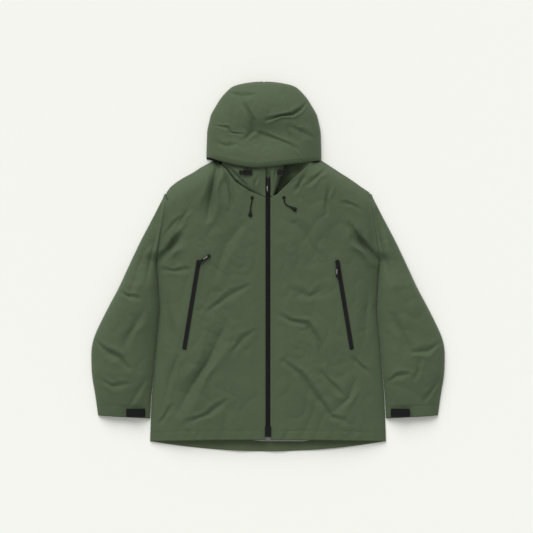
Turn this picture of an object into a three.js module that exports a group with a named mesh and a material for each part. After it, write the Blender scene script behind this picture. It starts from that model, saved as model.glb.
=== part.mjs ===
// Hardshell jacket, laid flat on its back: front up, hood up, zip closed, sleeves beside the body.
// Millimetres. +Z is up from the floor, +Y runs towards the hood, +X is the wearer's left.
// The origin is on the flat underside of the back panel, on the line of the main zip.
import * as THREE from 'three';

// Cloth and clearances
const wall = 2;
const gap = 0.3;
const layingGap = 0.9;
const facing = 1.2;
const facingInset = 24;
const floorBase = wall + gap;

// Body outline, for the wearer's left half
const hem = { x: 314, y: -465 };
const hip = { x: 310, y: -354 };
const waist = { x: 289, y: -115 };
const armpit = { x: 297, y: 12 };
const shoulderTip = { x: 270, y: 197 };
const neckSide = { x: 120, y: 264 };
const neckFront = 180;
const hemRise = 5;
const tailDrop = 27;

// Fullness of the body: how high the front lies at the hem and at the top of the zip
const hemHeight = 24;
const collarHeight = 46;

// Sleeves
const cuff = { inner: 318, outer: 450, y: -404, slant: 8 };
const elbow = { x: 472, y: -227 };
const sleeveFullness = 30;
const cuffFullness = 16;

// Hood
const hoodCentre = -9;
const hoodHalf = 150;
const hoodTop = 491;
const hoodHeight = 58;
const brimEdge = 260;
const brimDepth = 38;
const cornerRise = 28;
const crownShare = 0.55;

// Main zip
const zipTop = 238;
const zipInset = 8;
const zipBottom = hem.y + hemRise + zipInset;
const zipWidth = 12;
const tapeReach = 16;
const tapeThickness = 1.2;
const coilHalf = 1.5;
const slider = { half: 5, length: 14, roof: 2.2, inset: 6 };
const pull = { width: 8, length: 34, thickness: 1.8 };
const box = { half: 8, length: 29, height: 2 };
const flapHalf = 15;

// Hand pocket zips
const pocketTop = { x: 183, y: 17 };
const pocketBottom = { x: 222.5, y: -220 };
const pocketZipWidth = 11;
const pocketSlider = { width: 8, length: 12, height: 3 };
const pocketPull = { width: 8, length: 38, thickness: 1.6 };
const pocketPullTurn = { left: -92, right: 33 };
const pocketBag = { reach: 75, margin: 8 };

// Cuff tabs and their loop patches
const tab = { x: cuff.inner + 8, y: cuff.y + 16, length: 50, width: 22, thickness: 2 };
const loopPatch = { x: cuff.inner + 20, length: 70, width: 20 };

// Cords, cord ends, eyelets and cord locks
const cordDiameter = 2.8;
const eyelet = { x: 42, y: 182, outer: 4.5, hole: 2, height: 1.2 };
const cordEnd = { width: 11, length: 19, thickness: 5 };
const lock = { length: 24, width: 14, height: 8, corner: 2.5, slot: 5, slotDepth: 9 };
const button = { length: 7, width: 10, height: 5, travel: 3, stem: 8 };
const hoodLock = { reach: 33, y: 249 };
const hemLock = { x: hem.x - 62, y: hem.y + 25 };

// Colours
const colours = {
  shell: 0x525e48,
  lining: 0xa9aaa4,
  black: 0x1d1d1e,
  rubber: 0x121212,
  mesh: 0x5a5f58,
};

function finish(colour, roughness) {
  return new THREE.MeshStandardMaterial({ color: colour, roughness, metalness: 0 });
}

const shell = finish(colours.shell, 0.8);
const lining = finish(colours.lining, 0.85);
const zipCloth = finish(colours.black, 0.7);
const plastic = finish(colours.rubber, 0.45);
const cordCloth = finish(colours.black, 0.75);
const bagMesh = finish(colours.mesh, 0.9);

const jacket = new THREE.Group();

function mix(a, b, t) {
  return a + (b - a) * t;
}

function clamp01(t) {
  return Math.min(Math.max(t, 0), 1);
}

function ease(from, to, t) {
  const s = clamp01((t - from) / (to - from));
  return s * s * (3 - 2 * s);
}

// Value at t on the straight lines through [t, value] points
function linear(points, t) {
  const last = points.length - 1;
  if (t <= points[0][0]) {
    return points[0][1];
  }
  if (t >= points[last][0]) {
    return points[last][1];
  }
  const next = points.findIndex((point) => point[0] >= t);
  const [t0, p0] = points[next - 1];
  const [t1, p1] = points[next];
  return mix(p0, p1, (t - t0) / (t1 - t0));
}

// The same through a smooth curve
function smooth(points, t) {
  const last = points.length - 1;
  if (t <= points[0][0] || t >= points[last][0]) {
    return linear(points, t);
  }
  const next = points.findIndex((point) => point[0] >= t);
  const slope = (k) => {
    const a = points[Math.max(k - 1, 0)];
    const b = points[Math.min(k + 1, last)];
    return (b[1] - a[1]) / (b[0] - a[0]);
  };
  const [t0, p0] = points[next - 1];
  const [t1, p1] = points[next];
  const h = t1 - t0;
  const s = (t - t0) / h;
  const s2 = s * s;
  const s3 = s2 * s;
  return (2 * s3 - 3 * s2 + 1) * p0 + (s3 - 2 * s2 + s) * h * slope(next - 1)
    + (3 * s2 - 2 * s3) * p1 + (s3 - s2) * h * slope(next);
}

// ---------------------------------------------------------------- outlines and heights

function bodySide(y) {
  return linear([[hem.y, hem.x], [hip.y, hip.x], [waist.y, waist.x], [armpit.y, armpit.x],
    [shoulderTip.y, shoulderTip.x]], y);
}

// Neck seam, then shoulder line
function bodyTop(x) {
  const rise = neckSide.y - neckFront;
  const drop = neckSide.y - shoulderTip.y;
  const run = shoulderTip.x - neckSide.x;
  return linear([[0, neckFront], [neckSide.x * 0.42, neckFront + rise * 0.24],
    [neckSide.x * 0.72, neckFront + rise * 0.52], [neckSide.x, neckSide.y],
    [neckSide.x + run * 0.4, neckSide.y - drop * 0.06],
    [neckSide.x + run * 0.63, neckSide.y - drop * 0.36],
    [shoulderTip.x, shoulderTip.y]], x);
}

function backTop(x) {
  return x < neckSide.x ? neckSide.y : bodyTop(x);
}

function frontHem(x) {
  return hem.y + hemRise * (1 - (x / hem.x) ** 2);
}

function backHem(x) {
  return hem.y - tailDrop * (1 - (x / hem.x) ** 2);
}

// Height of the front on the line of the zip, a straight slope
const zipSlope = (collarHeight - hemHeight) / (zipTop - zipBottom);

function centreHeight(y) {
  return hemHeight + (y - zipBottom) * zipSlope;
}

function frontOver(x, y) {
  const s = clamp01(x / bodySide(y));
  const closed = (1 - s ** 3.5) ** 0.6;
  const open = Math.max(closed, 1 - 0.55 * s ** 3);
  const across = mix(closed, open, ease(armpit.y, armpit.y + 50, y));
  const below = clamp01((bodyTop(x) - y) / 60);
  const shoulder = 1 - (1 - below) ** 2.5;
  const along = mix(1, shoulder, ease(neckSide.x * 0.75, neckSide.x * 1.25, x));
  const base = floorBase + wall;
  return base + (centreHeight(y) - base) * across * along;
}

function frontUnder(x, y) {
  return frontOver(x, y) - wall;
}

function sleeveInner(y) {
  if (y >= armpit.y) {
    return bodySide(y) + gap;
  }
  return linear([[cuff.y, cuff.inner], [hip.y, mix(hip.x, cuff.inner, 0.4)],
    [waist.y, waist.x + 8], [armpit.y, armpit.x + gap]], y);
}

function sleeveOuter(y) {
  return smooth([[cuff.y, cuff.outer], [mix(cuff.y, elbow.y, 0.5), elbow.x - 8], [elbow.y, elbow.x],
    [elbow.y + 43, elbow.x - 10], [waist.y, mix(armpit.x, elbow.x, 0.75)],
    [armpit.y, mix(armpit.x, elbow.x, 0.4)], [mix(armpit.y, shoulderTip.y, 0.55), armpit.x + 18],
    [mix(armpit.y, shoulderTip.y, 0.88), armpit.x - 15], [shoulderTip.y, shoulderTip.x]], y);
}

function sleeveOver(x, y) {
  const s = clamp01((x - sleeveInner(y)) / (sleeveOuter(y) - sleeveInner(y)));
  const width = sleeveOuter(y) - sleeveInner(y);
  const arch = (1 - Math.abs(2 * s - 1) ** 3) ** 0.6;
  const full = mix(cuffFullness, sleeveFullness, clamp01((y - cuff.y) / 120));
  const join = y > armpit.y ? frontOver(bodySide(y), y) - floorBase - wall : 0;
  return floorBase + wall + Math.min(full, width * 0.3) * arch + join * (1 - s) ** 2;
}

function sleeveUnder(x, y) {
  return sleeveOver(x, y) - wall;
}

function hoodSide(y) {
  const height = hoodTop - neckSide.y;
  const at = (share) => neckSide.y + height * share;
  return smooth([[at(0), hoodHalf - 4], [at(0.12), hoodHalf], [at(0.39), hoodHalf * 0.985],
    [at(0.6), hoodHalf * 0.913], [at(0.72), hoodHalf * 0.81], [at(0.85), hoodHalf * 0.66],
    [at(0.94), hoodHalf * 0.48], [at(0.98), hoodHalf * 0.33], [at(1), hoodHalf * 0.13]], y);
}

function hoodEdge(s) {
  return brimEdge + cornerRise * Math.abs(s) ** 2.5;
}

function hoodOver(x, y) {
  const s = clamp01(Math.abs(x) / hoodSide(y));
  const t = clamp01((y - brimEdge) / (hoodTop - brimEdge));
  const across = (1 - s ** 2.6) ** 0.6;
  const along = (1 - t ** 3.2) ** 0.55;
  return floorBase + wall + hoodHeight * across * along;
}

function hoodUnder(x, y) {
  return hoodOver(x, y) - wall;
}

function collarEdge(x) {
  return zipTop + 2 + (neckSide.y + 6 - zipTop) * (x / neckSide.x) ** 1.2;
}

function collarOver(x, y) {
  const out = clamp01((x - tapeReach) / (neckSide.x - tapeReach));
  return mix(centreHeight(y), hemHeight, out ** 2);
}

// ---------------------------------------------------------------- makers

function add(name, geometry, material, parent = jacket) {
  const mesh = new THREE.Mesh(geometry, material);
  mesh.name = name;
  parent.add(mesh);
  return mesh;
}

// A cloth panel: a grid of nu by nv cells on plan(u, v), between two heights.
// side is 1 for the wearer's left and -1 for its mirror image.
function panel(name, material, side, cells, plan, under, over) {
  const geometry = new THREE.BoxGeometry(1, 1, 1, cells[0], cells[1], 1);
  const position = geometry.attributes.position;
  for (let i = 0; i < position.count; i += 1) {
    const [x, y] = plan(position.getX(i) + 0.5, position.getY(i) + 0.5);
    const low = under(x, y);
    const high = over(x, y);
    position.setXYZ(i, side * x, y, mix(low, high, position.getZ(i) + 0.5));
  }
  if (side < 0) {
    turnOut(geometry);
  }
  geometry.computeVertexNormals();
  return add(name, geometry, material);
}

// Reverses every triangle, so that a mirrored solid faces out again
function turnOut(geometry) {
  const index = geometry.index.array;
  for (let i = 0; i < index.length; i += 3) {
    [index[i], index[i + 1]] = [index[i + 1], index[i]];
  }
}

function block(size, centre) {
  return new THREE.BoxGeometry(...size).translate(...centre);
}

// A flat slab with rounded corners, lying on z = 0 and centred on the origin
function slab(width, length, height, corner) {
  const x = width / 2 - corner;
  const y = length / 2 - corner;
  const outline = new THREE.Shape();
  outline.absarc(x, y, corner, 0, Math.PI / 2);
  outline.absarc(-x, y, corner, Math.PI / 2, Math.PI);
  outline.absarc(-x, -y, corner, Math.PI, Math.PI * 1.5);
  outline.absarc(x, -y, corner, Math.PI * 1.5, Math.PI * 2);
  return new THREE.ExtrudeGeometry(outline, { depth: height, bevelEnabled: false, curveSegments: 3 });
}

const flat = (height) => () => height;
const sides = [['left', 1], ['right', -1]];

// ---------------------------------------------------------------- body panels

// Rows of the body and of the sleeves share their heights along the armhole
const rowsBelow = 9;
const rowsAbove = 4;
const rows = rowsBelow + rowsAbove;

function sideY(v, low) {
  const split = rowsBelow / rows;
  return v < split ? mix(low, armpit.y, v / split)
    : mix(armpit.y, shoulderTip.y, (v - split) / (1 - split));
}

function rowShare(v) {
  return (sideY(v, hem.y) - hem.y) / (shoulderTip.y - hem.y);
}

const placket = zipWidth / 2 + gap;

// Columns of the front share their places with those of the collar along the neck seam
const neckColumns = 5;
const columns = neckColumns + 6;

function columnShare(u) {
  const split = neckColumns / columns;
  const x = u < split ? mix(placket, neckSide.x, u / split)
    : mix(neckSide.x, shoulderTip.x, (u - split) / (1 - split));
  return (x - placket) / (shoulderTip.x - placket);
}

function frontPlan(u, v) {
  const t = columnShare(u);
  const y = mix(frontHem(mix(placket, hem.x, t)), bodyTop(mix(placket, shoulderTip.x, t)), rowShare(v));
  const side = y > neckFront ? shoulderTip.x : bodySide(y);
  return [mix(placket, side, t), y];
}

function backPlan(u, v) {
  const t = 2 * u - 1;
  const s = Math.abs(t);
  const y = mix(backHem(hem.x * s), backTop(shoulderTip.x * s) - gap, rowShare(v));
  return [t * bodySide(y), y];
}

panel('back_panel', shell, 1, [14, rows], backPlan, flat(0), flat(wall));
for (const [name, side] of sides) {
  panel(`front_panel_${name}`, shell, side, [columns, rows], frontPlan, frontUnder, frontOver);
}

panel('back_hem_facing', shell, 1, [14, 1],
  (u, v) => {
    const x = (2 * u - 1) * (hem.x - 12);
    return [x, mix(backHem(x) + 1, frontHem(x) + 4, v)];
  }, flat(floorBase), flat(floorBase + facing));

// ---------------------------------------------------------------- sleeves

const sleeveTopRow = shoulderTip.y - 5;

function sleevePlan(u, v) {
  const low = cuff.y + cuff.slant * u;
  const y = Math.min(sideY(v, low), sleeveTopRow);
  return [mix(sleeveInner(y), sleeveOuter(y), u), y];
}

function cuffPlan(depth) {
  return (u, v) => {
    const y = cuff.y + cuff.slant * u + 1 + depth * v;
    return [mix(sleeveInner(y) + facingInset, sleeveOuter(y) - facingInset, u), y];
  };
}

for (const [name, side] of sides) {
  panel(`sleeve_upper_${name}`, shell, side, [7, rows], sleevePlan, sleeveUnder, sleeveOver);
  panel(`sleeve_under_${name}`, shell, side, [4, rows], sleevePlan, flat(0), flat(wall));
  panel(`cuff_facing_${name}`, lining, side, [8, 1], cuffPlan(30),
    (x, y) => sleeveUnder(x, y) - layingGap - facing,
    (x, y) => sleeveUnder(x, y) - layingGap);
}

// ---------------------------------------------------------------- collar and neck

function collarPlan(u, v) {
  const x = mix(placket, neckSide.x, u);
  return [x, mix(bodyTop(x) + gap, collarEdge(x), v)];
}

for (const [name, side] of sides) {
  panel(`collar_front_${name}`, shell, side, [neckColumns, 3], collarPlan,
    (x, y) => collarOver(x, y) - wall, collarOver);
}

const neckFacingDepth = 36;
panel('neck_facing', lining, 1, [6, 1],
  (u, v) => [mix(-1, 1, u) * (neckSide.x - 10), neckSide.y + 2 + neckFacingDepth * v],
  flat(floorBase), flat(floorBase + facing));

const label = { width: 44, length: 30, y: 232 };
add('neck_label', slab(label.width, label.length, 0.8, 2), lining)
  .position.set(0, label.y, floorBase);

// Hanger loop: a flat strap that arches over the neck facing
const hanger = { half: 26, foot: 8, rise: 4, strap: 1.4, width: 7 };
const arch = new THREE.Shape([[-1, 0], [-1, 1], [1, 1], [1, 0]].map(([x, up]) =>
  new THREE.Vector2(x * hanger.half, up * hanger.rise + up * hanger.strap)));
arch.lineTo(hanger.half - hanger.foot, 0);
arch.lineTo(hanger.half - hanger.foot, hanger.rise);
arch.lineTo(hanger.foot - hanger.half, hanger.rise);
arch.lineTo(hanger.foot - hanger.half, 0);
const hangerLoop = new THREE.ExtrudeGeometry(arch, { depth: hanger.width, bevelEnabled: false });
hangerLoop.rotateX(Math.PI / 2);
add('hanger_loop', hangerLoop, cordCloth)
  .position.set(0, neckSide.y + 2 + neckFacingDepth / 2, floorBase + facing + gap);

// ---------------------------------------------------------------- hood

function hoodPlan(from, to, low, high) {
  return (u, v) => {
    const s = mix(from, to, u);
    const start = low(s);
    const y = mix(start, high(s), v);
    return [s * hoodSide(y), y];
  };
}

const crownSeam = gap / hoodHalf;
const hoodTopEdge = flat(hoodTop);
const brimTop = (s) => hoodEdge(s) + brimDepth;

const hoodPanels = [
  ['hood_back', 1, [10, 10], hoodPlan(-1, 1, flat(neckSide.y), hoodTopEdge), flat(0), flat(wall)],
  ['hood_crown', 1, [8, 8],
    hoodPlan(-crownShare, crownShare, (s) => brimTop(s) + gap, hoodTopEdge), hoodUnder, hoodOver],
  ['hood_brim', 1, [8, 2], hoodPlan(-crownShare, crownShare, hoodEdge, brimTop), hoodUnder, hoodOver],
  ['hood_side_left', 1, [5, 10],
    hoodPlan(crownShare + crownSeam * 2, 1, hoodEdge, hoodTopEdge), hoodUnder, hoodOver],
  ['hood_side_right', -1, [5, 10],
    hoodPlan(crownShare + crownSeam * 2, 1, hoodEdge, hoodTopEdge), hoodUnder, hoodOver],
];
for (const [name, side, cells, plan, under, over] of hoodPanels) {
  panel(name, shell, side, cells, plan, under, over).position.x = hoodCentre;
}

// ---------------------------------------------------------------- main zip

// The zip's own frame: y runs along it from its top end, z = 0 is the face of the cloth
const mainZip = new THREE.Group();
mainZip.position.set(0, zipTop, collarHeight);
mainZip.rotation.x = Math.atan(zipSlope);
jacket.add(mainZip);

const zipLength = Math.hypot(zipTop - zipBottom, collarHeight - hemHeight);
const tapeFace = -wall - gap;
const tapeBack = tapeFace - tapeThickness;
for (const [name, side] of sides) {
  const inner = coilHalf + gap;
  add(`zip_tape_${name}`, block([tapeReach - inner, zipLength, tapeThickness],
    [side * (inner + tapeReach) / 2, -zipLength / 2, tapeFace - tapeThickness / 2]), zipCloth, mainZip);
}
const coilTop = -0.4;
add('zip_coil', block([coilHalf * 2, zipLength, coilTop - tapeBack],
  [0, -zipLength / 2, (coilTop + tapeBack) / 2]), zipCloth, mainZip);
add('storm_flap', block([flapHalf * 2, zipLength, facing],
  [0, -zipLength / 2, tapeBack - gap - facing / 2]), shell, mainZip);
add('zip_retaining_box', slab(box.half * 2, box.length, box.height, 2), plastic, mainZip)
  .position.set(0, box.length / 2 - zipLength, gap);

// Slider: a roof with two side walls, over the coil
const runner = new THREE.Shape();
const sliderFoot = tapeFace + gap + 0.1;
const channel = coilHalf + 0.4;
runner.moveTo(-slider.half, sliderFoot);
runner.lineTo(-channel, sliderFoot);
runner.lineTo(-channel, 0);
runner.lineTo(channel, 0);
runner.lineTo(channel, sliderFoot);
runner.lineTo(slider.half, sliderFoot);
runner.lineTo(slider.half, slider.roof);
runner.lineTo(-slider.half, slider.roof);
runner.closePath();
const sliderBody = new THREE.ExtrudeGeometry(runner, { depth: slider.length, bevelEnabled: false });
sliderBody.rotateX(Math.PI / 2);
add('main_slider', sliderBody, plastic, mainZip).position.set(0, -slider.inset, 0);

// A pull tab, hinged at the origin and lying along -y
function pullTab({ width, length, thickness }) {
  return slab(width, length, thickness, width * 0.3).translate(0, -length / 2, 0);
}
add('main_pull', pullTab(pull), plastic, mainZip)
  .position.set(0, -slider.inset - 3, slider.roof + gap);

// ---------------------------------------------------------------- hand pockets

const pocketRun = new THREE.Vector2(pocketBottom.x - pocketTop.x, pocketBottom.y - pocketTop.y);
const pocketAcross = new THREE.Vector2(-pocketRun.y, pocketRun.x).normalize();

function pocketPlan(u, v) {
  const along = 1 - v;
  const offset = (u - 0.5) * pocketZipWidth;
  return [pocketTop.x + pocketRun.x * along + pocketAcross.x * offset,
    pocketTop.y + pocketRun.y * along + pocketAcross.y * offset];
}

function bagPlan(u, v) {
  const y = mix(pocketBottom.y - pocketBag.margin, pocketTop.y + pocketBag.margin, v);
  const share = (pocketTop.y - y) / (pocketTop.y - pocketBottom.y);
  const outer = pocketTop.x + pocketRun.x * share + pocketBag.margin;
  return [mix(pocketTop.x - pocketBag.reach, outer, u), y];
}

const pocketZipTop = gap + tapeThickness;
for (const [name, side] of sides) {
  panel(`pocket_zip_${name}`, zipCloth, side, [2, 8], pocketPlan,
    (x, y) => frontOver(x, y) + gap, (x, y) => frontOver(x, y) + pocketZipTop);
  panel(`pocket_bag_${name}`, bagMesh, side, [4, 8], bagPlan,
    (x, y) => frontUnder(x, y) - layingGap - facing,
    (x, y) => frontUnder(x, y) - layingGap);

  const start = new THREE.Group();
  const inset = (pocketSlider.length / 2 + 2) / pocketRun.length();
  const [x, y] = pocketPlan(0.5, 1 - inset);
  start.position.set(side * x, y, frontOver(x, y) + pocketZipTop + gap + 0.3);
  jacket.add(start);
  const runnerMesh = add(`pocket_slider_${name}`,
    slab(pocketSlider.width, pocketSlider.length, pocketSlider.height, 1.5), plastic, start);
  runnerMesh.rotation.z = side * Math.atan2(pocketRun.x, -pocketRun.y);
  const tabMesh = add(`pocket_pull_${name}`, pullTab(pocketPull), plastic, start);
  tabMesh.position.z = pocketSlider.height + gap;
  tabMesh.rotation.z = THREE.MathUtils.degToRad(90 + pocketPullTurn[name]);
}

// ---------------------------------------------------------------- cuff tabs

const patchGap = gap * 2;
const tabLift = patchGap + facing + gap;

function stripPlan(x, length, y, width) {
  return (u, v) => [x + length * u, y + width * (v - 0.5)];
}

for (const [name, side] of sides) {
  panel(`cuff_loop_${name}`, cordCloth, side, [8, 1],
    stripPlan(loopPatch.x, loopPatch.length, tab.y, loopPatch.width),
    (x, y) => sleeveOver(x, y) + patchGap, (x, y) => sleeveOver(x, y) + patchGap + facing);
  panel(`cuff_tab_${name}`, plastic, side, [6, 1], stripPlan(tab.x, tab.length, tab.y, tab.width),
    (x, y) => sleeveOver(x, y) + tabLift,
    (x, y) => sleeveOver(x, y) + tabLift + tab.thickness);
}

// ---------------------------------------------------------------- cords and cord locks

// Centre lines of the two free cord tails, from the eyelet to the cord end
const cordRoutes = {
  left: [[42, 182, 48.2], [42.2, 179.6, 48.1], [42.4, 177.2, 47.7], [42.7, 174.8, 47.1],
    [43.1, 172.4, 46.5], [43.7, 170.1, 46.1], [44.6, 167.9, 45.9], [45.9, 165.9, 45.8],
    [47.5, 164.1, 45.7], [49.3, 162.5, 45.7], [51.3, 161.1, 45.6], [53.4, 159.9, 45.6],
    [55.6, 158.8, 45.5], [57.8, 157.8, 45.5], [60, 156.9, 45.4]],
  right: [[-42, 182, 48.2], [-42.1, 179.6, 48.1], [-42.2, 177.2, 47.7], [-42.4, 174.8, 47.1],
    [-42.8, 172.4, 46.5], [-43.3, 170, 46.1], [-43.9, 167.6, 45.9], [-44.5, 165.2, 45.8],
    [-45, 162.8, 45.7], [-45.4, 160.4, 45.6], [-45.7, 158, 45.5], [-45.9, 155.6, 45.4],
    [-46, 153.2, 45.4], [-46.1, 150.8, 45.3], [-46.2, 148.4, 45.2]],
};
const cordEndTurn = { left: 60, right: -4 };

const cordSection = new THREE.Shape();
cordSection.absarc(0, 0, cordDiameter / 2, 0, Math.PI * 2);

for (const [name, side] of sides) {
  const ring = [[eyelet.hole, 0], [eyelet.outer, 0], [eyelet.outer, eyelet.height],
    [eyelet.hole, eyelet.height], [eyelet.hole, 0]].map(([r, z]) => new THREE.Vector2(r, z));
  const washer = new THREE.LatheGeometry(ring, 12).rotateX(Math.PI / 2);
  add(`cord_eyelet_${name}`, washer, plastic)
    .position.set(side * eyelet.x, eyelet.y, frontOver(eyelet.x, eyelet.y) + gap);

  const route = new THREE.CatmullRomCurve3(cordRoutes[name].map((p) => new THREE.Vector3(...p)));
  add(`hood_cord_${name}`, new THREE.ExtrudeGeometry(cordSection,
    { steps: 14, curveSegments: 4, extrudePath: route }), cordCloth);

  const [x, y, z] = cordRoutes[name].at(-1);
  const end = add(`cord_end_${name}`, slab(cordEnd.width, cordEnd.length, cordEnd.thickness, 4)
    .translate(0, -cordEnd.length / 2 - gap, -cordDiameter / 2), plastic);
  end.position.set(x, y, z + 0.2);
  end.rotation.z = THREE.MathUtils.degToRad(cordEndTurn[name]);
}

// The lock's barrel, with the slot that its button slides in at the +x end
function barrel() {
  const x = lock.length / 2;
  const y = lock.width / 2;
  const c = lock.corner;
  const outline = new THREE.Shape();
  outline.moveTo(x, lock.slot / 2);
  outline.lineTo(x, y - c);
  outline.absarc(x - c, y - c, c, 0, Math.PI / 2);
  outline.absarc(c - x, y - c, c, Math.PI / 2, Math.PI);
  outline.absarc(c - x, c - y, c, Math.PI, Math.PI * 1.5);
  outline.absarc(x - c, c - y, c, Math.PI * 1.5, Math.PI * 2);
  outline.lineTo(x, -lock.slot / 2);
  outline.lineTo(x - lock.slotDepth, -lock.slot / 2);
  outline.lineTo(x - lock.slotDepth, lock.slot / 2);
  outline.closePath();
  return new THREE.ExtrudeGeometry(outline, { depth: lock.height, bevelEnabled: false, curveSegments: 3 });
}

// The button: a head outside the barrel and a stem in its slot, with x = 0 at the head's inner face
function plunger() {
  const head = button.width / 2;
  const stem = lock.slot / 2 - gap;
  const outline = new THREE.Shape([[0, -head], [button.length, 1 - head], [button.length, head - 1],
    [0, head], [0, stem], [-button.stem, stem], [-button.stem, -stem], [0, -stem]]
    .map(([x, y]) => new THREE.Vector2(x, y)));
  return new THREE.ExtrudeGeometry(outline, { depth: button.height, bevelEnabled: false });
}

function cordLock(name, side, x, y, z) {
  const turn = side > 0 ? 0 : Math.PI;
  const barrelMesh = add(name, barrel(), plastic);
  barrelMesh.position.set(x, y, z);
  barrelMesh.rotation.z = turn;
  const buttonMesh = add(name.replace('lock', 'lock_button'), plunger(), plastic);
  buttonMesh.position.set(x + side * (lock.length / 2 + button.travel + gap), y,
    z + (lock.height - button.height) / 2);
  buttonMesh.rotation.z = turn;
}

for (const [name, side] of sides) {
  const hoodX = hoodCentre + side * (hoodLock.reach + lock.length / 2);
  const innerX = Math.abs(hoodCentre + side * hoodLock.reach);
  cordLock(`hood_lock_${name}`, side, hoodX, hoodLock.y, collarOver(innerX, hoodLock.y) + gap);
  cordLock(`hem_lock_${name}`, -side, side * hemLock.x, hemLock.y, floorBase);
}

export default jacket;
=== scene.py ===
# %% [markdown]
# # A hardshell jacket, laid flat
# A hardshell is cut from a stiff, thin laminate: a woven nylon face, a waterproof film and a light
# grey knitted backer. Laid on its back it keeps some air inside, and the stiff cloth breaks into
# long creases with sharp valleys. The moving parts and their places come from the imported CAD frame.
# Here the cloth gets its folds, the zips their teeth, and everything gets its finish.

# %% Load the frame
import math
import bmesh
import bpy
import numpy as np
from mathutils import Matrix, Vector, noise


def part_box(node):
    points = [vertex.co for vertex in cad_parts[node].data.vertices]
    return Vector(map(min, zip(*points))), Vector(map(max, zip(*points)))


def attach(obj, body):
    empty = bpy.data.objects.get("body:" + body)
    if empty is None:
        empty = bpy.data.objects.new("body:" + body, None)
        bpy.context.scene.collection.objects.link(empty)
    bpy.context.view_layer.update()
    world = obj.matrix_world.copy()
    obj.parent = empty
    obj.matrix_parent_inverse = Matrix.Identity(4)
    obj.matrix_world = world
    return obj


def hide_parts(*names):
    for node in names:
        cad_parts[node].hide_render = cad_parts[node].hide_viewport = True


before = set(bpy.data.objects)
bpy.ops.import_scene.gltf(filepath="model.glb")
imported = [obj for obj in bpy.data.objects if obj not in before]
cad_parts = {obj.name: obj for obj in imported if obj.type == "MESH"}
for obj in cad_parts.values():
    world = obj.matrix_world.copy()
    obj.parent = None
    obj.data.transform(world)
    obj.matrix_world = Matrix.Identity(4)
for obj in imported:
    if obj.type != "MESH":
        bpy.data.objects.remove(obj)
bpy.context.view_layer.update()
MM = 0.001

# %% [markdown]
# ## The camera
# A flat-lay picture is taken from straight above with a long lens, so that the sleeves and the hood
# aren't drawn larger than the hem. A perspective camera six metres up does that, and it can be moved
# to any other side later, which an orthographic one can't do as well.

# %% Camera
VIEW_WIDTH = 1.412
CAMERA_HEIGHT = 6.0
SENSOR = 36.0
CLOTH_HEIGHT = 0.03
CAMERA_X = -0.004
camera_data = bpy.data.cameras.new("camera")
camera_data.sensor_width = SENSOR
camera_data.lens = SENSOR * (CAMERA_HEIGHT - CLOTH_HEIGHT) / VIEW_WIDTH
camera = bpy.data.objects.new("camera", camera_data)
camera.location = (CAMERA_X, 0, CAMERA_HEIGHT)
bpy.context.collection.objects.link(camera)
bpy.context.scene.camera = camera
print("lens", round(camera_data.lens), "mm")

# %% [markdown]
# ## Colours and nodes
# Every colour is written as the sRGB hex value a designer would give, and turned to linear light by
# one function. The others add a shader node with its settings and links, and blend two colours.

# %% Colour and node helpers
def colour(hex_value):
    channels = [int(hex_value[i:i + 2], 16) / 255 for i in (1, 3, 5)]
    linear = [c / 12.92 if c <= 0.04045 else ((c + 0.055) / 1.055) ** 2.4 for c in channels]
    return (*linear, 1.0)


def add_node(tree, kind, values=None, links=None, **settings):
    node = tree.nodes.new("ShaderNode" + kind)
    for name, value in settings.items():
        setattr(node, name, value)
    for socket, value in (values or {}).items():
        node.inputs[socket].default_value = value
    for socket, source in (links or {}).items():
        tree.links.new(source, node.inputs[socket])
    return node


def new_material(name):
    material = bpy.data.materials.new(name)
    material.use_nodes = True
    material.node_tree.nodes.clear()
    return material, material.node_tree


def finish_material(tree, surface):
    add_node(tree, "OutputMaterial", links={"Surface": surface.outputs[0]})


def two_colours(tree, source, first, second, places=(0.0, 1.0)):
    """A colour ramp from first to second, driven by source."""
    node = add_node(tree, "ValToRGB", links={"Fac": source})
    for element, place, hex_value in zip(node.color_ramp.elements, places, (first, second)):
        element.position = place
        element.color = colour(hex_value)
    return node.outputs["Color"]


# a Wave texture multiplies its scale by this before it takes the sine
WAVE_FACTOR = 20


def wave_scale(period_mm):
    """Scale of a Wave texture whose bands repeat every period_mm."""
    return 2 * math.pi / (WAVE_FACTOR * period_mm * MM)


print("helpers ready")


# %% [markdown]
# ## The shell cloth
# The face is a plain weave of matt nylon, dyed olive green and treated so that water beads. Real
# threads are 0.15 mm apart, far too fine to draw, so two crossed sets of bands a few times coarser
# stand for them. A slow noise varies the dye a little, as folds rubbed by wear do, and a faint sheen
# gives the soft light edge of woven nylon.

# %% Woven shell
THREAD = 1.1
# noise scales: dye blotches about 110 mm wide, grain about 4 mm, crumple about 14 mm
DYE_SCALE = 9.0
GRAIN_SCALE = 260.0
CRUMPLE_SCALE = 70.0


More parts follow.
